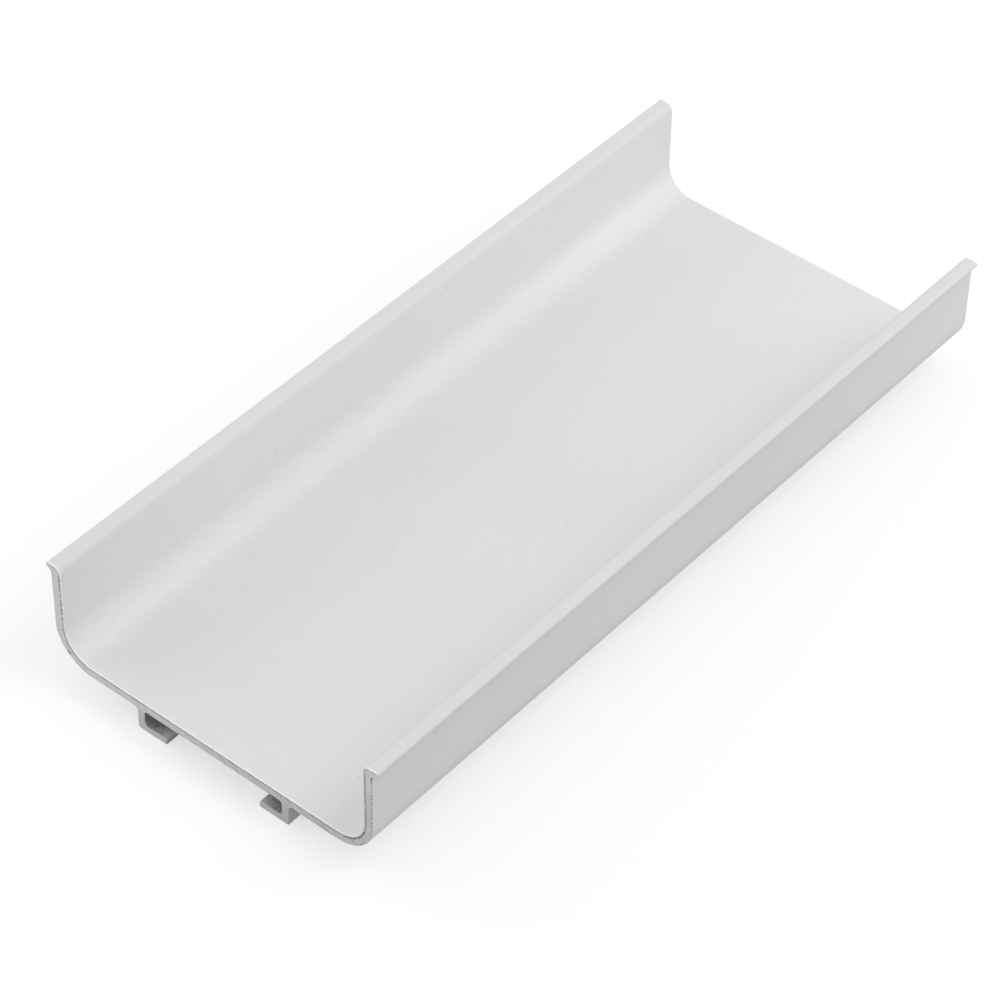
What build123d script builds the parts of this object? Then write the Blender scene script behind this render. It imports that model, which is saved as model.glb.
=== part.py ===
from build123d import *
import os

# Aluminium handle profile: a short sawn length of a C-shaped extrusion, open side up,
# standing on the two hooks under its web. Millimetres, +X across the section, +Y along
# the length, +Z up, with z = 0 at the underside of the hooks and x = y = 0 at mid part.

# Sample
sample_length = 164.0

# Channel
body_width = 70.8        # across the outer faces of the two flanges
wall = 2.0               # flange thickness
web = 1.9                # web thickness
channel_depth = 19.8     # web's upper face to the top of the lips
corner_radius = 8.0      # outer face, flange to web
corner_inner = 6.0       # inner face, flange to web

# Lips along the flange tops, turned outwards
lip_overhang = 1.1       # past the flange's outer face
lip_edge = 0.8           # height of the lip's blunt edge
lip_root = 1.6           # lip top down to where its underside meets the flange
lip_root_fillet = 0.9
lip_inner_round = 1.35   # inner face into the lip's top
lip_top_round = 0.55     # upper edge of the lip's end
lip_under_round = 0.25   # lower edge of the lip's end

# Hooks under the web that hold the clip bracket
rail_width = 34.0        # across the outer faces of the two legs
leg = 1.6                # leg thickness
foot = 1.5               # foot thickness
foot_length = 6.5        # leg's outer face to the foot's end
slot_height = 3.2        # foot's upper face to the web's underside
slot_fillet = 0.6        # leg's inner face into the web's underside
hook_fillet = 0.9        # leg's inner face into the foot's upper face
heel_round = 0.5         # outer bottom edge of the leg
toe_round = 0.4          # upper edge of the foot's end
toe_under_round = 0.3    # lower edge of the foot's end
leg_fillet = 0.7         # leg's outer face into the web's underside


def half_outline():
    """Right half of the section as (x, z, corner radius), from the web's underside round to its top."""
    under = foot + slot_height
    floor = under + web
    top = floor + channel_depth
    outer = body_width / 2
    inner = outer - wall
    tip = outer + lip_overhang
    leg_out = rail_width / 2
    leg_in = leg_out - leg
    toe = leg_out - foot_length
    hook = [
        (leg_in, under, slot_fillet),
        (leg_in, foot, hook_fillet),
        (toe, foot, toe_round),
        (toe, 0.0, toe_under_round),
        (leg_out, 0.0, heel_round),
        (leg_out, under, leg_fillet),
    ]
    flange = [
        (outer, under, corner_radius),
        (outer, top - lip_root, lip_root_fillet),
        (tip, top - lip_edge, lip_under_round),
        (tip, top, lip_top_round),
        (inner, top, lip_inner_round),
        (inner, floor, corner_inner),
    ]
    return hook + flange


def section():
    """The whole section: the half outline and its mirror image, with every corner rounded."""
    right = half_outline()
    left = [(-x, z, r) for x, z, r in reversed(right)]
    corners = right + left
    face = make_face(Polyline(*[(x, z) for x, z, r in corners], close=True))
    for x, z, r in corners:
        vertex = face.vertices().sort_by_distance((x, z))[0]
        face = fillet(vertex, r)
    return face


def handle_profile():
    """The section run along Y and sawn square at both ends."""
    return extrude(Plane.XZ * section(), amount=sample_length / 2, both=True)


os.makedirs("parts", exist_ok=True)
export_step(handle_profile(), "parts/handle_profile.step")
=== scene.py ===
"""Aluminium handle profile: a short sawn length of a lacquered C-shaped extrusion on a pale floor."""
import math
import random

import bpy
from bpy.props import FloatProperty, FloatVectorProperty, IntProperty, PointerProperty
from bpy.types import Operator, Panel, PropertyGroup
from mathutils import Euler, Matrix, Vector, noise
from mathutils.geometry import delaunay_2d_cdt
from mathutils.kdtree import KDTree


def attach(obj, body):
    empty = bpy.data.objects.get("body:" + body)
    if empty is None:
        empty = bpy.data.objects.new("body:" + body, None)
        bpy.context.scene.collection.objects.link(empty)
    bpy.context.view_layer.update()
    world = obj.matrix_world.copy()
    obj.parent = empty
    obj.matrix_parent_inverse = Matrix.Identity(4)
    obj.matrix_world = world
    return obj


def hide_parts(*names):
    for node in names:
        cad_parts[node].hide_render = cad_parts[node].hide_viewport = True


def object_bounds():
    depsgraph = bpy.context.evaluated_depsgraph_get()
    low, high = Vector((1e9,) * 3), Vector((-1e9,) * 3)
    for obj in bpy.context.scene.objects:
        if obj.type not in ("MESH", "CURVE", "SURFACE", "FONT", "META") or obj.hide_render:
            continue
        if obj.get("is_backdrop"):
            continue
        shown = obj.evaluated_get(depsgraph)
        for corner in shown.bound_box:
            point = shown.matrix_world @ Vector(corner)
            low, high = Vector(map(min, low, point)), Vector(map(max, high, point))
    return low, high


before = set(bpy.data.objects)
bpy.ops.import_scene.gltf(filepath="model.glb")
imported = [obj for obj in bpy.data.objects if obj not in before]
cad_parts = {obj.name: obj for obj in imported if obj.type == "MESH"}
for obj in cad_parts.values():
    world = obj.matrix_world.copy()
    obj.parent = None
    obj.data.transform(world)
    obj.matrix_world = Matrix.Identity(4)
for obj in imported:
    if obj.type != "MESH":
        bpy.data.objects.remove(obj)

bl_info = {
    "name": "Handle profile",
    "version": (1, 0, 0),
    "blender": (4, 5, 0),
    "location": "View3D > Sidebar > Profile",
    "description": "Builds a sawn sample of a lacquered handle profile and its stage",
    "category": "Object",
}

NODE = "handle_profile"
CAD_LOW, CAD_HIGH = (Vector(corner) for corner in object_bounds())
MM = 0.001

LIP_OVERHANG = 0.0011       # lip past the flange's outer face, in metres
BLADE = (104.0, 110.0)      # the saw blade's middle beside the section, in millimetres
SLACK = 0.02                # how near counts as on a face, in millimetres


def length(name, description, default):
    """A length property in metres."""
    return FloatProperty(name=name, description=description, default=default, min=0.0, precision=5,
                         subtype="DISTANCE", unit="LENGTH")


def share(name, description, default, highest=1.0):
    """A plain number property from nought upwards."""
    return FloatProperty(name=name, description=description, default=default, min=0.0, max=highest, precision=3)


def power(name, description, default):
    """A lamp's power in watts."""
    return FloatProperty(name=name, description=description, default=default, min=0.0, unit="POWER")


def colour(name, description, default):
    """A linear colour property."""
    return FloatVectorProperty(name=name, description=description, default=default, min=0.0, max=1.0, size=3,
                               subtype="COLOR")


# Settings a user would change

class ProfileSizes(PropertyGroup):
    """Sizes of the section and the sample."""
    sample_length: length("Sample length", "From saw cut to saw cut", CAD_HIGH.y - CAD_LOW.y)
    body_width: length("Body width", "Across the outer faces of the flanges", CAD_HIGH.x - CAD_LOW.x - 2 * LIP_OVERHANG)
    wall: length("Wall", "Flange thickness", 0.0020)
    web: length("Web", "Web thickness", 0.0019)
    channel_depth: length("Channel depth", "Web to lip top", 0.0198)
    corner_radius: length("Corner radius", "Outer face, flange to web", 0.008)
    corner_inner: length("Inner corner radius", "Inner face, flange to web", 0.006)
    lip_overhang: length("Lip overhang", "Lip past the flange's outer face", LIP_OVERHANG)
    lip_edge: length("Lip edge", "Height of the lip's blunt edge", 0.0008)
    lip_root: length("Lip root", "Lip top to where its underside meets the flange", 0.0016)
    lip_root_fillet: length("Lip root fillet", "Round under the lip", 0.0009)
    lip_inner_round: length("Lip inner round", "Inner face into the lip's top", 0.00135)
    lip_top_round: length("Lip top round", "Upper edge of the lip's end", 0.00055)
    lip_under_round: length("Lip under round", "Lower edge of the lip's end", 0.00025)
    rail_width: length("Rail width", "Across the outer faces of the hooks' legs", 0.034)
    leg: length("Leg", "Thickness of a hook's leg", 0.0016)
    foot: length("Foot", "Thickness of a hook's foot", 0.0015)
    foot_length: length("Foot length", "Leg's outer face to the foot's end", 0.0065)
    slot_height: length("Slot height", "Foot to the web's underside", 0.0032)
    slot_fillet: length("Slot fillet", "Leg's inner face into the web's underside", 0.0006)
    hook_fillet: length("Hook fillet", "Leg's inner face into the foot's upper face", 0.0009)
    heel_round: length("Heel round", "Outer bottom edge of a leg", 0.0005)
    toe_round: length("Toe round", "Upper edge of a foot's end", 0.0004)
    toe_under_round: length("Toe under round", "Lower edge of a foot's end", 0.0003)
    leg_fillet: length("Leg fillet", "Leg's outer face into the web's underside", 0.0007)


class LacquerFinish(PropertyGroup):
    """The matt lacquer on every drawn face."""
    tint: colour("Lacquer", "Pale cool white", (0.800, 0.803, 0.803))
    speck_tint: colour("Specks", "Dust caught in the lacquer", (0.46, 0.46, 0.46))
    # Colour of a thinner coat, also used as painted shade: it darkens the lips, and the hooks under the web and deep in
    # the slots
    thin_coat_shade_tint: colour("Thin coat and shade", "Where the spray hardly reached inside the hooks", (0.30, 0.31, 0.31))
    roughness: share("Roughness", "Matt to satin", 0.46)
    grain: length("Grain", "Size of the lacquer's fine texture", 0.00042)
    grain_depth: share("Grain depth", "Strength of the fine texture", 0.10)


class CutFinish(PropertyGroup):
    """The bare saw cuts at both ends."""
    metal_tint: colour("Sawn metal", "Bare aluminium", (0.70, 0.70, 0.697))
    streak_tint: colour("Saw streaks", "Dark lines of the saw", (0.47, 0.47, 0.465))
    chip_tint: colour("Chips", "Dark chips between coat and metal", (0.07, 0.07, 0.07))
    # Painted highlight: the lacquer's edge along each cut is drawn in this colour, brighter than the lacquer; the pale
    # glints share it
    painted_highlight_tint: colour("Coat edge", "Broken edge of the lacquer", (0.97, 0.97, 0.97))
    roughness: share("Roughness", "Sawn metal", 0.48)
    edge_break: length("Edge break", "How far the saw broke the edges", 0.00007)
    streak_depth: length("Streak depth", "Relief of the saw lines", 0.00002)
    burr_place: length("Burr place", "Where a burr stands on the near cut's web, from the middle", 0.0131)
    burr_height: length("Burr height", "How far that burr stands up", 0.00016)
    pitch: length("Pitch", "Distance between points round the section", 0.0002)
    seed: IntProperty(name="Seed", description="Pattern of nicks and saw lines", default=7, min=0)


class StageSettings(PropertyGroup):
    """Floor, light and camera."""
    floor_tint: colour("Floor", "Pale floor", (0.40, 0.40, 0.40))
    floor_lift: share("Floor lift", "White added to the floor where it is seen", 0.64)
    ambient: share("Ambient", "Even light from all round", 0.70, 4.0)
    key: power("Key", "Soft panel high on the right", 2.9)
    fill: power("Fill", "Soft panel on the left", 1.20)
    low: power("Low", "Soft panel low behind on the right", 0.19)
    camera_place: FloatVectorProperty(name="Camera place", description="Where the camera stands",
                                      default=(0.31376, -0.39237, 0.48526), subtype="TRANSLATION", unit="LENGTH")
    camera_turn: FloatVectorProperty(name="Camera turn", description="How the camera is turned",
                                     default=(math.radians(46.20198), math.radians(-0.77452), math.radians(39.98062)),
                                     subtype="EULER", unit="ROTATION")
    lens: FloatProperty(name="Lens", description="Focal length", default=141.687, min=1.0, unit="CAMERA")


class ProfileSettings(PropertyGroup):
    """All settings of the sample."""
    sizes: PointerProperty(type=ProfileSizes)
    lacquer: PointerProperty(type=LacquerFinish)
    cut: PointerProperty(type=CutFinish)
    stage: PointerProperty(type=StageSettings)


# Section, in millimetres

ARC_STEPS = 5       # fewest steps round a corner
ARC_PITCH = 0.7     # step round a corner, as a share of the pitch on the straights


def section_corners(s):
    """The section's corners as (x, z, radius), anticlockwise seen from the near end."""
    under = s.foot + s.slot_height
    floor = under + s.web
    top = floor + s.channel_depth
    outer = s.body_width / 2
    inner = outer - s.wall
    tip = outer + s.lip_overhang
    leg_out = s.rail_width / 2
    leg_in = leg_out - s.leg
    toe = leg_out - s.foot_length
    right = [
        (leg_in, under, s.slot_fillet),
        (leg_in, s.foot, s.hook_fillet),
        (toe, s.foot, s.toe_round),
        (toe, 0.0, s.toe_under_round),
        (leg_out, 0.0, s.heel_round),
        (leg_out, under, s.leg_fillet),
        (outer, under, s.corner_radius),
        (outer, top - s.lip_root, s.lip_root_fillet),
        (tip, top - s.lip_edge, s.lip_under_round),
        (tip, top, s.lip_top_round),
        (inner, top, s.lip_inner_round),
        (inner, floor, s.corner_inner),
    ]
    left = [(-x, z, r) for x, z, r in reversed(right)]
    return [(x / MM, z / MM, r / MM) for x, z, r in right + left]


def section_outline(corners, pitch):
    """Points and outward normals round the section, with every corner drawn as an arc."""
    arcs = []
    count = len(corners)
    for k in range(count):
        before = Vector(corners[k - 1][:2])
        corner = Vector(corners[k][:2])
        after = Vector(corners[(k + 1) % count][:2])
        radius = corners[k][2]
        a = (before - corner).normalized()
        b = (after - corner).normalized()
        half = a.angle(b) / 2
        trim = radius / math.tan(half)
        centre = corner + (a + b).normalized() * (radius / math.sin(half))
        convex = a.y * b.x - a.x * b.y > 0
        arcs.append((corner + a * trim, corner + b * trim, centre, radius, convex))
    points = []
    normals = []
    for k in range(count):
        start, end, centre, radius, convex = arcs[k]
        first = start - centre
        turn = first.angle_signed(end - centre)
        steps = max(ARC_STEPS, math.ceil(abs(turn) * radius / (pitch * ARC_PITCH)))
        for j in range(steps + 1):
            angle = -turn * j / steps
            spoke = Vector((first.x * math.cos(angle) - first.y * math.sin(angle),
                            first.x * math.sin(angle) + first.y * math.cos(angle)))
            points.append(centre + spoke)
            normals.append(spoke.normalized() if convex else -spoke.normalized())
        following = arcs[(k + 1) % count][0]
        run = following - end
        steps = max(1, math.ceil(run.length / pitch))
        side = Vector((run.y, -run.x)).normalized()
        for j in range(1, steps):
            points.append(end + run * (j / steps))
            normals.append(side)
    return points, normals


# Points of a cut's mesh
RIM_ROWS = (0.09, 0.19, 0.33)   # rows that follow the rim, by their distance from it
ROW_CLEAR = 0.93                # share of that distance that has to be free all round
GRID_STEP = 0.36
GRID_JITTER = 0.2               # how far a grid point strays, as a share of the step
GRID_CLEAR = 0.46               # how far the grid stays from the rim


class Outline:
    """The section's outline, what the materials read round it, and how far inside it a point lies."""

    def __init__(self, points, normals, s):
        self.points = points
        self.normals = normals
        self.along = [0.0]
        for a, b in zip(points, points[1:]):
            self.along.append(self.along[-1] + (b - a).length)
        self.thin_and_shade = [thin_coat(point, s) for point in points]
        self.shown = [on_show(point, s) for point in points]
        self.side = [sideways(point, normal, s) for point, normal in zip(points, normals)]
        self.tree = KDTree(len(points))
        for i, point in enumerate(points):
            self.tree.insert((point.x, point.y, 0.0), i)
        self.tree.balance()

    def nearest(self, point):
        """Index of the outline's nearest point."""
        return self.tree.find((point.x, point.y, 0.0))[1]

    def depth(self, point):
        """Distance from the outline, positive inside the metal."""
        i = self.nearest(point)
        count = len(self.points)
        best = None
        for a, b in ((i - 1, i), (i, (i + 1) % count)):
            start = self.points[a]
            run = self.points[b] - start
            t = max(0.0, min(1.0, (point - start).dot(run) / run.length_squared))
            gap = (point - start - run * t).length
            best = gap if best is None else min(best, gap)
        return best if (point - self.points[i]).dot(self.normals[i]) <= 0 else -best

    def inner_points(self, dice):
        """Points for the saw cut's mesh: rows that follow the rim, then a loose grid between them."""
        found = []
        for offset in RIM_ROWS:
            for point, normal in zip(self.points, self.normals):
                spot = point - normal * offset
                if self.depth(spot) > offset * ROW_CLEAR:
                    found.append(spot)
        low = Vector((min(p.x for p in self.points), min(p.y for p in self.points)))
        high = Vector((max(p.x for p in self.points), max(p.y for p in self.points)))
        for row in range(int((high.y - low.y) / GRID_STEP) + 1):
            for column in range(int((high.x - low.x) / GRID_STEP) + 1):
                across = column + 0.5 * (row % 2) + dice.uniform(-GRID_JITTER, GRID_JITTER)
                up = row + dice.uniform(-GRID_JITTER, GRID_JITTER)
                spot = Vector((low.x + across * GRID_STEP, low.y + up * GRID_STEP))
                if self.depth(spot) > GRID_CLEAR:
                    found.append(spot)
        return found


# How far the lacquer is darkened towards its thinner-coat tint, from 0 for a full coat to 1 for hardly any: painted
# shade on the lips, and on the hooks a thinner coat with painted shade
LIP_PAINTED_SHADE = 0.10         # top of the lips
LIP_ROUND_PAINTED_SHADE = 0.14   # rise and fall over the lips' inner rounds
LIP_EDGE_DOWN = 0.5     # how far down the lip's end that goes, in millimetres
LEG_THIN_AND_SHADE = 0.35         # outside of the hooks' legs
RAIL_THIN_AND_SHADE = 0.30        # web between the hooks' feet
TOE_THIN_AND_SHADE = 0.75         # ends of the feet
FOOT_THIN_AND_SHADE = 0.2         # undersides of the feet
SLOT_THIN_AND_SHADE = 0.15        # mouth of the slots
SLOT_DEEP_THIN_AND_SHADE = 0.80     # added deep inside the slots
SLOT_RISE = 1.4         # how soon that is reached


def thin_coat(point, s):
    """How far the lacquer on the skin is darkened: 0 on open faces, a little painted shade on the lips, near 1 deep
    inside the hooks, where a thinner coat and painted shade add up.
    """
    x, z = abs(point.x), point.y
    under = (s.foot + s.slot_height) / MM
    foot = s.foot / MM
    leg_out = s.rail_width / 2 / MM
    leg_in = leg_out - s.leg / MM
    toe = leg_out - s.foot_length / MM
    if z > under + SLACK or x > leg_out + SLACK:
        top = under + (s.web + s.channel_depth) / MM
        rounded = s.lip_inner_round / MM
        beyond_lip = x > (s.body_width / 2 + s.lip_overhang / 2) / MM
        if z < top - rounded or beyond_lip and z < top - LIP_EDGE_DOWN:
            return 0.0
        # Painted shade on the lips' tops and inner rounds, which dims their highlight
        down = (top - z) / rounded
        return LIP_PAINTED_SHADE * (1.0 - down) + LIP_ROUND_PAINTED_SHADE * down * (1.0 - down)
    # The hooks: a thinner coat with painted shade under the web, darkest deep in the slots
    if x > leg_in + SLACK:
        return LEG_THIN_AND_SHADE
    if x < toe - SLACK:
        return RAIL_THIN_AND_SHADE
    if z < foot - s.toe_round / MM:
        return TOE_THIN_AND_SHADE if x < toe + SLACK else FOOT_THIN_AND_SHADE
    return SLOT_THIN_AND_SHADE + SLOT_DEEP_THIN_AND_SHADE * min(1.0, SLOT_RISE * (x - toe) / (leg_in - toe))


def on_show(point, s):
    """One on the faces that show in use, which are the channel's inside and the lips' tops, and nought elsewhere."""
    x, z = abs(point.x), point.y
    floor = (s.foot + s.slot_height + s.web) / MM
    top = floor + s.channel_depth / MM
    inner = (s.body_width / 2 - s.wall) / MM
    rounded = s.lip_inner_round / MM
    in_channel = z > floor - SLACK and x < inner + SLACK
    on_lip = z > top - 3 * SLACK or (z > top - rounded and x < inner + rounded)
    return 1.0 if in_channel or on_lip else 0.0


def sideways(point, normal, s):
    """How far the skin faces to the right, -1 to 1, on the channel; nought on the hooks and the lips' rounds."""
    under = (s.foot + s.slot_height) / MM
    lip = under + (s.web + s.channel_depth - s.lip_inner_round) / MM
    on_hooks = abs(point.x) < (s.rail_width / 2 + s.leg_fillet) / MM and point.y < under + SLACK
    return 0.0 if on_hooks or point.y > lip else normal.x


# Profile mesh, in millimetres

END_ROWS = (0.0, 0.05, 0.12, 0.3, 0.9, 3.0)     # rows of points near a cut, by their distance from it
SPANS = 18                                      # stretches of skin between the two ends' rows
BURR_HALF = 0.45                                # half the burr's length along the rim
RELIEF_FADE = 0.3                               # how far from the rim the saw lines reach full depth
SHARP_ANGLE = math.radians(32)


def saw_line(x, z, seed):
    """Relief of the saw lines at a spot on a cut, about -1 to 1: arcs of a large blade."""
    across, up = x - BLADE[0], z - BLADE[1]
    reach = math.hypot(across, up)
    along = math.atan2(up, across) * 40.0
    coarse = noise.noise(Vector((reach * 2.3, along * 0.05, seed)))
    fine = noise.noise(Vector((reach * 7.0, along * 0.2, seed + 11.0)))
    return 0.6 * coarse + 0.4 * fine


def edge_bite(point, normal, end, cut):
    """How far the saw broke the rim at a spot, in millimetres; less than nought where it left a burr."""
    aside = abs(point.x - cut.burr_place / MM)
    if end == 0 and normal.y > 0.9 and aside < BURR_HALF:
        return -cut.burr_height / MM * (1.0 - aside / BURR_HALF)
    near = Vector((point.x, point.y, cut.seed + 31.0 * end))
    ragged = 0.65 * noise.noise(near * 1.9) + 0.5 * noise.noise(near * 5.3)
    return cut.edge_break / MM * max(0.1, 1.0 + ragged)


class MeshPoints:
    """The mesh's points in metres, with the numbers that the materials read at each."""

    def __init__(self):
        self.places = []
        self.marks = {"rim": [], "thin_coat": [], "show": [], "side": []}
        self.unrolled = []

    def put(self, spot, y, rim, thin_and_shade, outline, i, level):
        """Adds a point of the section, given in millimetres, that takes its marks from the outline's point i."""
        self.places.append((spot.x * MM, y * MM, spot.y * MM))
        self.marks["rim"].append(rim)
        self.marks["thin_coat"].append(thin_and_shade)
        self.marks["show"].append(outline.shown[i])
        self.marks["side"].append(outline.side[i])
        self.unrolled += (outline.along[i], level, 0.0)


def skin_rows(half):
    """Where the skin's rows of points lie along the sample: close together near the cuts."""
    margin = END_ROWS[-1]
    between = [-half + margin + (2 * half - 2 * margin) * k / SPANS for k in range(1, SPANS)]
    return [-half + d for d in END_ROWS] + between + [half - d for d in reversed(END_ROWS)]


def put_skin(points, outline, rows, cut):
    """Adds the drawn skin's points, row after row, and returns its faces."""
    half = rows[-1]
    last = len(rows) - 1
    count = len(outline.points)
    for j, y in enumerate(rows):
        for i, (point, normal) in enumerate(zip(outline.points, outline.normals)):
            bite = edge_bite(point, normal, j // last, cut) if j in (0, last) else 0.0
            points.put(point - normal * bite, y, -min(y + half, half - y), outline.thin_and_shade[i], outline, i, y)
    faces = []
    for j in range(last):
        for i in range(count):
            k = (i + 1) % count
            faces.append((j * count + i, (j + 1) * count + i, (j + 1) * count + k, j * count + k))
    return faces


def put_cut(points, outline, inside, first, level, end, cut):
    """Adds a saw cut's inner points and returns its faces; first is the index of its rim's first point."""
    count = len(outline.points)
    ring = [Vector((x / MM, z / MM)) for x, _, z in points.places[first:first + count]]
    flat, _, triangles, origins, _, _ = delaunay_2d_cdt(ring + inside, [], [list(range(count))], 1, 1e-6)
    index = []
    for spot, origin in zip(flat, origins):
        if origin and origin[0] < count:
            index.append(first + origin[0])
            continue
        depth = outline.depth(spot)
        relief = saw_line(spot.x, spot.y, cut.seed + 50 * end) * min(1.0, depth / RELIEF_FADE)
        lift = cut.streak_depth / MM * relief
        index.append(len(points.places))
        points.put(spot, level + lift * (1 if end else -1), depth, 0.0, outline, outline.nearest(spot), level)
    corners = [[index[v] for v in triangle] for triangle in triangles]
    return corners if end == 0 else [face[::-1] for face in corners]


def profile_mesh(s, cut):
    """The sample as one closed mesh: the drawn skin, and a sawn face at each end."""
    outline = Outline(*section_outline(section_corners(s), cut.pitch / MM), s)
    rows = skin_rows(s.sample_length / MM / 2)
    points = MeshPoints()
    skin = put_skin(points, outline, rows, cut)
    far_rim = len(points.places) - len(outline.points)
    inside = outline.inner_points(random.Random(cut.seed))
    cuts = put_cut(points, outline, inside, 0, rows[0], 0, cut)
    cuts += put_cut(points, outline, inside, far_rim, rows[-1], 1, cut)
    mesh = bpy.data.meshes.new("handle_profile_sample")
    mesh.from_pydata(points.places, [], skin + cuts)
    for name, values in points.marks.items():
        mesh.attributes.new(name, "FLOAT", "POINT").data.foreach_set("value", values)
    mesh.attributes.new("unrolled", "FLOAT_VECTOR", "POINT").data.foreach_set("vector", points.unrolled)
    mesh.polygons.foreach_set("material_index", [0] * len(skin) + [1] * len(cuts))
    mesh.update()
    mesh.shade_smooth()
    mesh.set_sharp_from_angle(angle=SHARP_ANGLE)
    if mesh.validate():
        raise RuntimeError("the profile's mesh has faulty faces")
    return mesh


# Node helpers

def add(tree, kind, **inputs):
    """A node with some of its inputs set or linked; keys that are not sockets set the node's own options."""
    made = tree.nodes.new(kind)
    for key, value in inputs.items():
        if key.islower():
            setattr(made, key, value)
    for key, value in inputs.items():
        if not key.islower():
            plug(tree, made, key.replace("_", " "), value)
    return made


def plug(tree, made, name, value):
    """Sets one input, or links a socket to it."""
    socket = made.inputs[int(name[1:])] if name[0] == "I" and name[1:].isdigit() else made.inputs[name]
    if isinstance(value, bpy.types.NodeSocket):
        tree.links.new(value, socket)
    else:
        socket.default_value = value


def rgba(tint):
    """A colour with full alpha."""
    return (*tint, 1.0)


def math_node(tree, operation, a, b=0.0, clamp=False):
    """Output of a Math node."""
    return add(tree, "ShaderNodeMath", operation=operation, use_clamp=clamp, I0=a, I1=b).outputs[0]


def times(tree, *values, clamp=False):
    """Output of two or more values multiplied."""
    product = values[0]
    for value in values[1:]:
        product = math_node(tree, "MULTIPLY", product, value, clamp)
    return product


def plus(tree, a, b, clamp=False):
    """Output of two values added."""
    return math_node(tree, "ADD", a, b, clamp)


def larger(tree, a, b):
    """Output of the larger of two values."""
    return math_node(tree, "MAXIMUM", a, b)


def scaled(tree, value, gain, constant):
    """Output of value times gain, plus a constant."""
    return add(tree, "ShaderNodeMath", operation="MULTIPLY_ADD", I0=value, I1=gain, I2=constant).outputs[0]


def noise_2d(tree, place, scale, detail):
    """Output of a flat noise, 0 to 1."""
    made = add(tree, "ShaderNodeTexNoise", noise_dimensions="2D", Vector=place, Scale=scale, Detail=detail)
    return made.outputs["Fac"]


def ramp(tree, value, low, high):
    """Nought below low, one above high and smooth between; low may be the larger."""
    made = add(tree, "ShaderNodeMapRange", interpolation_type="SMOOTHSTEP", Value=value)
    flip = low > high
    made.inputs["From Min"].default_value = min(low, high)
    made.inputs["From Max"].default_value = max(low, high)
    made.inputs["To Min"].default_value = 1.0 if flip else 0.0
    made.inputs["To Max"].default_value = 0.0 if flip else 1.0
    return made.outputs["Result"]


def mix(tree, factor, a, b):
    """Output of a colour mix."""
    made = add(tree, "ShaderNodeMix", data_type="RGBA", clamp_factor=True)
    plug(tree, made, "I0", factor)
    plug(tree, made, "I6", a)
    plug(tree, made, "I7", b)
    return made.outputs[2]


def new_group(name, inputs, outputs):
    """An empty shader node group with named value sockets."""
    group = bpy.data.node_groups.new(name, "ShaderNodeTree")
    for label, default in inputs:
        kind = "NodeSocketVector" if default is None else "NodeSocketFloat"
        socket = group.interface.new_socket(label, in_out="INPUT", socket_type=kind)
        if default is not None:
            socket.default_value = default
    for label in outputs:
        group.interface.new_socket(label, in_out="OUTPUT", socket_type="NodeSocketFloat")
    return group, group.nodes.new("NodeGroupInput"), group.nodes.new("NodeGroupOutput")


def fine_grain_group():
    """Fine even texture: a height for bump and a tone that wanders slowly."""
    group, given, out = new_group("Fine grain", [("Place", None), ("Grain mm", 0.4)], ["Height", "Tone"])
    size = math_node(group, "DIVIDE", 1000.0, given.outputs["Grain mm"])
    fine = add(group, "ShaderNodeTexNoise", Vector=given.outputs["Place"], Scale=size, Detail=2.0, Roughness=0.55)
    broad = add(group, "ShaderNodeTexNoise", Vector=given.outputs["Place"], Scale=38.0, Detail=3.0, Roughness=0.5)
    plug(group, out, "Height", fine.outputs["Fac"])
    plug(group, out, "Tone", broad.outputs["Fac"])
    return group


# Marks along a cut's rim, in millimetres from it: each pair is where a mark begins to change and where it is done
COAT_ON_CUT = (0.08, 0.04)
COAT_ON_SKIN = (-0.33, -0.19)
LINE_START = (0.02, 0.08)
LINE_END = (0.62, 0.12)
GOUGES_END = (0.48, 0.34)
PITS_START = (0.06, 0.14)
PITS_END = (0.44, 0.34)
NICKS_END = (0.22, 0.10)
WIDER_COAT = 0.21           # added to the coat's edge where the blade came in
SPOTS_PER_MM = 1.45         # pits and gouges along the rim
LIP_HEIGHT = (23.8, 25.2)   # height on the cut where the lips begin


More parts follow.
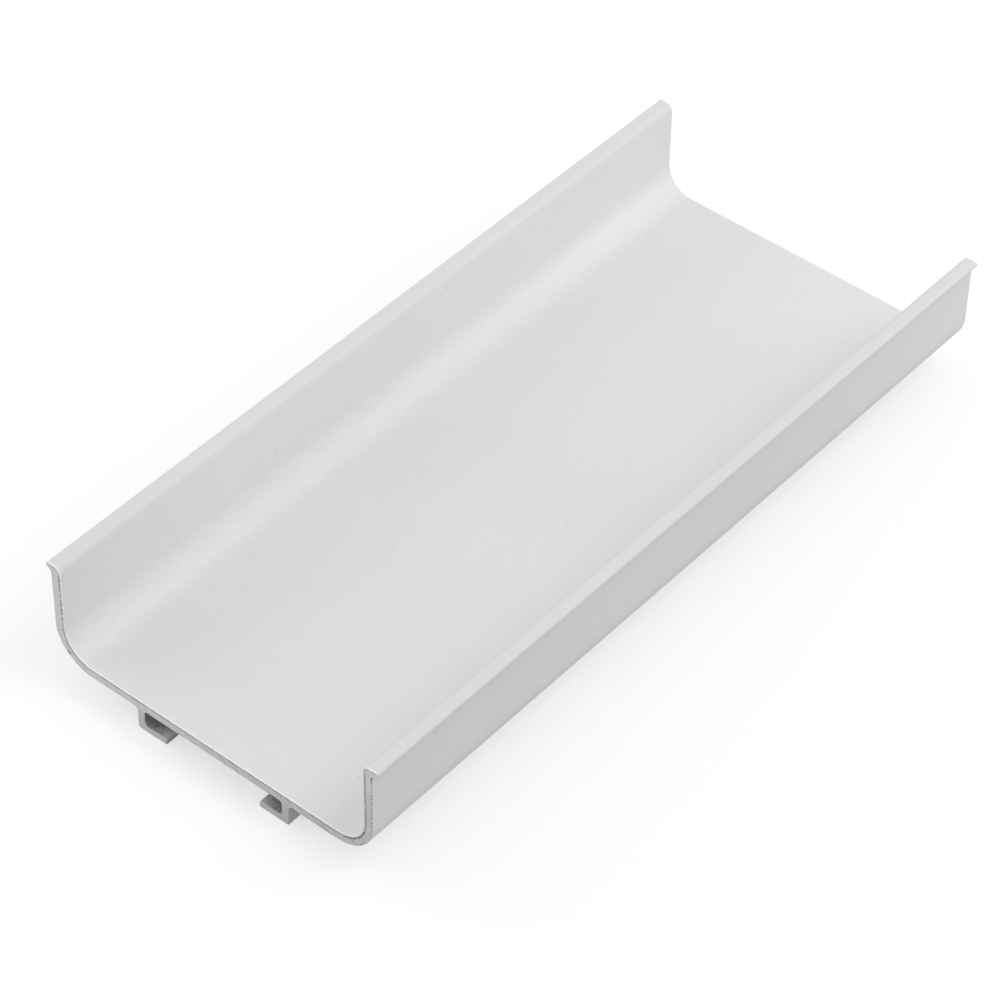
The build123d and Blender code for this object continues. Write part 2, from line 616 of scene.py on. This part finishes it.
def saw_edge_group():
    """What the saw did along a cut's rim: the coat's broken edge, painted brighter than the lacquer as a highlight, and
    dark chips beside it.

    Place, Along and Rim are in millimetres. Rim is positive on the cut, measured from its edge, and negative on the
    skin. Show is one beside the faces that show in use. Side is -1 where the blade came in and 1 where it went out
    and tore a row of pits.
    """
    given_sockets = [("Place", None), ("Along", 0.0), ("Rim", 0.0), ("Show", 0.0), ("Side", 0.0)]
    group, given, out = new_group("Saw edge", given_sockets, ["Coat edge", "Chips"])
    place = given.outputs["Place"]
    rim = given.outputs["Rim"]
    show = given.outputs["Show"]
    side = given.outputs["Side"]

    # Where on the section
    went_out = ramp(group, side, 0.90, 0.99)
    came_in = ramp(group, side, -0.10, -0.60)
    corner = times(group, ramp(group, side, -0.10, -0.35), ramp(group, side, -1.0, -0.95))
    lip = ramp(group, add(group, "ShaderNodeSeparateXYZ", Vector=place).outputs["Y"], *LIP_HEIGHT)

    # Ragged distance from the rim, worn stretches and a row of spots
    teeth = noise_2d(group, place, 2.6, 1.0)
    patches = noise_2d(group, place, 0.32, 1.0)
    row = add(group, "ShaderNodeTexVoronoi", voronoi_dimensions="1D", W=given.outputs["Along"], Scale=SPOTS_PER_MM,
              Randomness=0.8).outputs["Distance"]
    ragged = plus(group, scaled(group, teeth, 0.12, -0.06), rim)
    depth = plus(group, scaled(group, came_in, -WIDER_COAT, 0.0), ragged)
    worn = ramp(group, patches, 0.34, 0.58)
    dot = ramp(group, row, 0.31, 0.17)

    # Pits torn where the blade went out
    strip = times(group, ramp(group, depth, *PITS_START), ramp(group, depth, *PITS_END))
    torn = times(group, dot, strip, times(group, went_out, scaled(group, worn, 0.4, 0.5)))

    # Dull line along the coat, and gouges in the corner
    begun = ramp(group, depth, *LINE_START)
    lessened = plus(group, scaled(group, lip, -0.18, 0.25), times(group, went_out, -0.32))
    strength = plus(group, scaled(group, worn, 0.33, 0.0), lessened)
    dull = times(group, times(group, begun, ramp(group, depth, *LINE_END)), strength, clamp=True)
    bitten = times(group, corner, ramp(group, row, 0.38, 0.20))
    gouged = times(group, begun, ramp(group, depth, *GOUGES_END), bitten)
    inside = times(group, larger(group, dull, gouged), show, clamp=True)

    # Nicks beside the faces that do not show
    nicks = times(group, scaled(group, show, -0.6, 0.6), ramp(group, patches, 0.55, 0.64))
    under = times(group, nicks, ramp(group, ragged, *NICKS_END))

    chips = larger(group, larger(group, inside, torn), under)
    plug(group, out, "Chips", times(group, chips, ramp(group, rim, -0.02, 0.02)))
    # The coat's edge along the rim, on the faces that show: a painted highlight, brighter than the lacquer
    coat = times(group, ramp(group, depth, *COAT_ON_CUT), ramp(group, rim, *COAT_ON_SKIN))
    unbroken = scaled(group, times(group, dot, went_out), -0.5, 1.0)
    plug(group, out, "Coat edge", times(group, coat, show, unbroken))
    return group


def place_in_group(tree, group, **inputs):
    """A node group set into a material."""
    made = tree.nodes.new("ShaderNodeGroup")
    made.node_tree = group
    for key, value in inputs.items():
        plug(tree, made, key.replace("_", " "), value)
    return made


def new_material(name):
    """A material with a Principled shader alone: the tree, the shader and the place on the object."""
    material = bpy.data.materials.new(name)
    material.use_nodes = True
    tree = material.node_tree
    shader = tree.nodes["Principled BSDF"]
    place = tree.nodes.new("ShaderNodeTexCoord").outputs["Object"]
    return material, tree, shader, place


def attribute(tree, name):
    """A number kept on the mesh."""
    return add(tree, "ShaderNodeAttribute", attribute_name=name).outputs["Fac"]


def unrolled_place(tree):
    """Millimetres round the section and along the sample, kept on the mesh."""
    return add(tree, "ShaderNodeAttribute", attribute_name="unrolled").outputs["Vector"]


def edge_in(tree, edge, place):
    """The saw's edge marks set into a material, read from the numbers kept on the mesh."""
    along = add(tree, "ShaderNodeSeparateXYZ", Vector=unrolled_place(tree)).outputs["X"]
    return place_in_group(tree, edge, Place=place, Along=along, Rim=attribute(tree, "rim"),
                          Show=attribute(tree, "show"), Side=attribute(tree, "side"))


# Dust and grain in the lacquer; specks are sized as shares of a cell
SPECK_CELLS_PER_MM = 0.48
SPECK_SMALLEST = 0.014
SPECK_LARGER = 0.050        # added for the largest
SPECK_FAINTNESS = 4.5       # the larger, the fewer strong ones
GRAIN_SHADE = 0.948         # tone of the texture's low spots
BUMP_DISTANCE = 0.0001      # in metres


def lacquer_material(finish, cut, grain, edge):
    """Pale matt lacquer with a fine texture, caught dust, painted glints, a painted highlight along the cuts' rims,
    painted shade on the lips, and a thinner coat with painted shade inside the hooks.
    """
    material, tree, shader, place = new_material("lacquer_matt_white")
    unrolled = unrolled_place(tree)
    texture = place_in_group(tree, grain, Place=place, Grain_mm=finish.grain / MM)
    worn = edge_in(tree, edge, unrolled)

    # Specks of dust, dark, and pale glints painted as tiny highlights: one to a cell, most of them faint
    cells = add(tree, "ShaderNodeTexVoronoi", voronoi_dimensions="2D", Vector=unrolled, Scale=SPECK_CELLS_PER_MM)
    pick = add(tree, "ShaderNodeSeparateColor", Color=cells.outputs["Color"])
    size = scaled(tree, pick.outputs["Green"], SPECK_LARGER, SPECK_SMALLEST)
    dot = ramp(tree, math_node(tree, "SUBTRACT", size, cells.outputs["Distance"]), -0.010, 0.012)
    depth = math_node(tree, "POWER", pick.outputs["Blue"], SPECK_FAINTNESS)
    specks = times(tree, dot, ramp(tree, pick.outputs["Red"], 0.55, 0.58), depth)
    glints = times(tree, dot, ramp(tree, pick.outputs["Red"], 0.42, 0.39), depth)

    # Tone of the fine texture
    fine = ramp(tree, texture.outputs["Height"], 0.30, 0.70)
    broad = ramp(tree, texture.outputs["Tone"], 0.25, 0.75)
    tone = plus(tree, scaled(tree, fine, 0.65, 0.0), times(tree, broad, 0.35))
    base = mix(tree, tone, rgba([channel * GRAIN_SHADE for channel in finish.tint]), rgba(finish.tint))

    # Thinner, patchy coat inside the hooks, darkened with painted shade under the web and deepest in the slots; painted
    # shade on the lips
    bare = attribute(tree, "thin_coat")
    patches = ramp(tree, noise_2d(tree, unrolled, 1.3, 2.0), 0.35, 0.65)
    patchy = times(tree, ramp(tree, bare, 0.13, 0.35), scaled(tree, patches, 0.32, -0.16))
    thin_and_shade = mix(tree, plus(tree, bare, patchy), base, rgba(finish.thin_coat_shade_tint))

    dusted = mix(tree, specks, thin_and_shade, rgba(finish.speck_tint))
    # Painted highlights: the glints in the highlight colour
    spotted = mix(tree, glints, dusted, rgba(cut.painted_highlight_tint))
    # Painted highlight: the lacquer's edge beside the cuts
    edged = mix(tree, worn.outputs["Coat edge"], spotted, rgba(cut.painted_highlight_tint))
    plug(tree, shader, "Base Color", edged)
    plug(tree, shader, "Roughness", scaled(tree, texture.outputs["Height"], 0.10, finish.roughness - 0.05))
    shader.inputs["Specular IOR Level"].default_value = 0.45
    bump = add(tree, "ShaderNodeBump", Strength=finish.grain_depth, Distance=BUMP_DISTANCE,
               Height=texture.outputs["Height"])
    plug(tree, shader, "Normal", bump.outputs["Normal"])
    return material


# Saw marks on the cut: reaches from the blade's middle in millimetres, heights above the floor in metres
BITE_REACH = (165.0, 112.0)
ENTRY_REACH = (128.0, 118.0)
ENTRY_HEIGHT = (0.0225, 0.0175)
BOTTOM_HEIGHT = (0.0125, 0.0085)
HOOKS_HEIGHT = (0.0056, 0.0032)
SAWN_METALLIC = 0.55


def sawn_material(cut, grain, edge):
    """Bare sawn aluminium with saw lines, and the lacquer's broken edge round its rim, painted brighter as a highlight.
    """
    material, tree, shader, place = new_material("aluminium_sawn")
    parts = add(tree, "ShaderNodeSeparateXYZ", Vector=place)
    height = parts.outputs["Z"]
    flat = add(tree, "ShaderNodeCombineXYZ", X=parts.outputs["X"], Y=height).outputs[0]
    in_mm = add(tree, "ShaderNodeVectorMath", operation="SCALE", I0=flat, Scale=1000.0).outputs[0]
    texture = place_in_group(tree, grain, Place=place, Grain_mm=0.14)
    worn = edge_in(tree, edge, in_mm)

    # Saw lines: arcs round the blade's middle, deepest near the blade and low on the section
    apart = add(tree, "ShaderNodeVectorMath", operation="DISTANCE", I0=in_mm, I1=(*BLADE, 0.0)).outputs["Value"]
    reach = plus(tree, scaled(tree, texture.outputs["Tone"], 0.5, 0.0), apart)
    broad = add(tree, "ShaderNodeTexNoise", noise_dimensions="1D", W=reach, Scale=1.1, Detail=1.0).outputs["Fac"]
    fine = add(tree, "ShaderNodeTexNoise", noise_dimensions="1D", W=reach, Scale=4.2, Detail=2.0,
               Roughness=0.6).outputs["Fac"]
    bite = ramp(tree, apart, *BITE_REACH)
    bottom = ramp(tree, height, *BOTTOM_HEIGHT)
    strong = times(tree, ramp(tree, broad, 0.52, 0.66), scaled(tree, bite, 0.75, 0.35))
    faint = times(tree, ramp(tree, fine, 0.46, 0.66), scaled(tree, bite, 0.45, 0.35))
    lines = times(tree, larger(tree, strong, faint), scaled(tree, bottom, 0.70, 0.30))
    mottle = times(tree, ramp(tree, texture.outputs["Height"], 0.40, 0.75), 0.55)

    # Painted shade on the hooks, darker near the floor; darker too in the corner near the blade and up the flange it
    # entered
    low = ramp(tree, height, *HOOKS_HEIGHT)
    entry = times(tree, ramp(tree, apart, *ENTRY_REACH), ramp(tree, height, *ENTRY_HEIGHT))
    darker_near_blade = times(tree, larger(tree, times(tree, bite, bottom), entry), 0.38)
    dark = plus(tree, larger(tree, lines, mottle), darker_near_blade)
    # Painted shade near the floor, on the hooks' cut, is added to the saw lines here
    shaded = plus(tree, scaled(tree, low, 0.38, 0.0), dark)

    streaked = mix(tree, shaded, rgba(cut.metal_tint), rgba(cut.streak_tint))
    chipped = mix(tree, worn.outputs["Chips"], streaked, rgba(cut.chip_tint))
    # Painted highlight: the lacquer's edge round the rim
    edged = mix(tree, worn.outputs["Coat edge"], chipped, rgba(cut.painted_highlight_tint))
    plug(tree, shader, "Base Color", edged)
    coat = plus(tree, worn.outputs["Coat edge"], worn.outputs["Chips"], clamp=True)
    plug(tree, shader, "Metallic", scaled(tree, coat, -SAWN_METALLIC, SAWN_METALLIC))
    plug(tree, shader, "Roughness", scaled(tree, fine, 0.16, cut.roughness - 0.08))
    relief = math_node(tree, "SUBTRACT", fine, worn.outputs["Chips"])
    bump = add(tree, "ShaderNodeBump", Strength=0.25, Distance=BUMP_DISTANCE, Height=relief)
    plug(tree, shader, "Normal", bump.outputs["Normal"])
    return material


# Stage, in metres

WHITE = (1.0, 1.0, 1.0, 1.0)
FLOOR_REACH = 3.0           # half the floor's side
FLOOR_FADE = (0.16, 0.5)    # from the sample outwards, where the floor runs out into white
SENSOR_MM = 36.0
CLIP = (0.05, 20.0)         # nearest and farthest that the camera sees
MIDDLE = (0.0, 0.0, 0.0)    # what the light panels face
PANELS = {                  # setting of the power, place, width and depth
    "key": ((0.55, 0.35, 0.95), 0.6, 0.6),
    "fill": ((-0.8, -0.2, 0.5), 0.6, 0.6),
    "low": ((0.22, 0.30, 0.10), 0.2, 0.1),
}


def seen_rays(tree):
    """One for the rays that see the background: from the camera, in gloss and through glass."""
    path = tree.nodes.new("ShaderNodeLightPath")
    first = larger(tree, path.outputs["Is Camera Ray"], path.outputs["Is Glossy Ray"])
    return larger(tree, first, path.outputs["Is Transmission Ray"])


def floor_material(stage):
    """Pale floor that takes the sample's shadow and runs out into white."""
    material, tree, shader, place = new_material("pale_floor")
    shader.inputs["Base Color"].default_value = rgba(stage.floor_tint)
    shader.inputs["Roughness"].default_value = 0.9
    shader.inputs["Specular IOR Level"].default_value = 0.0
    shader.inputs["Emission Color"].default_value = WHITE
    away = add(tree, "ShaderNodeVectorMath", operation="LENGTH", I0=place).outputs["Value"]
    white = scaled(tree, ramp(tree, away, *FLOOR_FADE), 1.0 - stage.floor_lift, stage.floor_lift)
    plug(tree, shader, "Emission Strength", times(tree, white, seen_rays(tree)))
    return material


def pale_world(ambient):
    """Even light from all round, seen as plain white."""
    world = bpy.data.worlds.new("pale_studio")
    world.use_nodes = True
    tree = world.node_tree
    background = tree.nodes["Background"]
    plug(tree, background, "Strength", scaled(tree, seen_rays(tree), 1.0 - ambient, ambient))
    plug(tree, background, "Color", WHITE)
    bpy.context.scene.world = world


def panel_light(name, place, width, depth, watts):
    """A soft light panel that faces the middle of the sample's base."""
    lamp = bpy.data.lights.new(name, "AREA")
    lamp.shape = "RECTANGLE"
    lamp.size = width
    lamp.size_y = depth
    lamp.energy = watts
    held = bpy.data.objects.new(name, lamp)
    held.location = place
    held.rotation_euler = (Vector(MIDDLE) - Vector(place)).to_track_quat("-Z", "Y").to_euler()
    bpy.context.collection.objects.link(held)


# Operators

class PROFILE_OT_build_sample(Operator):
    """Builds the sawn sample with its lacquer and its bare cuts"""
    bl_idname = "profile.build_sample"
    bl_label = "Build sample"

    def execute(self, context):
        settings = context.scene.handle_profile
        grain = fine_grain_group()
        edge = saw_edge_group()
        mesh = profile_mesh(settings.sizes, settings.cut)
        mesh.materials.append(lacquer_material(settings.lacquer, settings.cut, grain, edge))
        mesh.materials.append(sawn_material(settings.cut, grain, edge))
        piece = bpy.data.objects.new("handle_profile_sample", mesh)
        context.collection.objects.link(piece)
        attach(piece, "root")
        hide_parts(NODE)
        return {"FINISHED"}


class PROFILE_OT_build_stage(Operator):
    """Sets out the floor, the light and the camera"""
    bl_idname = "profile.build_stage"
    bl_label = "Build stage"

    def execute(self, context):
        stage = context.scene.handle_profile.stage
        mesh = bpy.data.meshes.new("pale_floor")
        signs = ((-1, -1), (1, -1), (1, 1), (-1, 1))
        mesh.from_pydata([(x * FLOOR_REACH, y * FLOOR_REACH, 0.0) for x, y in signs], [], [(0, 1, 2, 3)])
        mesh.materials.append(floor_material(stage))
        floor = bpy.data.objects.new("pale_floor", mesh)
        context.collection.objects.link(floor)
        floor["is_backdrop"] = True
        pale_world(stage.ambient)
        for name, (place, width, depth) in PANELS.items():
            panel_light(name + "_panel", place, width, depth, getattr(stage, name))
        camera = bpy.data.cameras.new("camera")
        camera.lens = stage.lens
        camera.sensor_width = SENSOR_MM
        camera.clip_start, camera.clip_end = CLIP
        stand = bpy.data.objects.new("camera", camera)
        stand.location = stage.camera_place
        stand.rotation_euler = Euler(stage.camera_turn)
        context.collection.objects.link(stand)
        context.scene.camera = stand
        context.scene.view_settings.view_transform = "Standard"
        return {"FINISHED"}


class PROFILE_PT_sidebar(Panel):
    """Lists the sample's settings and its builders"""
    bl_idname = "PROFILE_PT_sidebar"
    bl_label = "Handle profile"
    bl_space_type = "VIEW_3D"
    bl_region_type = "UI"
    bl_category = "Profile"

    def draw(self, context):
        settings = context.scene.handle_profile
        for part in (settings.sizes, settings.lacquer, settings.cut, settings.stage):
            box = self.layout.box()
            for key in part.__annotations__:
                box.prop(part, key)
        self.layout.operator(PROFILE_OT_build_sample.bl_idname)
        self.layout.operator(PROFILE_OT_build_stage.bl_idname)


CLASSES = (
    ProfileSizes,
    LacquerFinish,
    CutFinish,
    StageSettings,
    ProfileSettings,
    PROFILE_OT_build_sample,
    PROFILE_OT_build_stage,
    PROFILE_PT_sidebar,
)


def register():
    """Registers the classes and the settings on the scene."""
    for cls in CLASSES:
        bpy.utils.register_class(cls)
    bpy.types.Scene.handle_profile = PointerProperty(type=ProfileSettings)


def unregister():
    """Takes the settings and the classes away again."""
    del bpy.types.Scene.handle_profile
    for cls in reversed(CLASSES):
        bpy.utils.unregister_class(cls)


def main():
    """Builds the sample and the stage."""
    register()
    bpy.ops.profile.build_sample()
    bpy.ops.profile.build_stage()


if __name__ == "__main__":
    main()
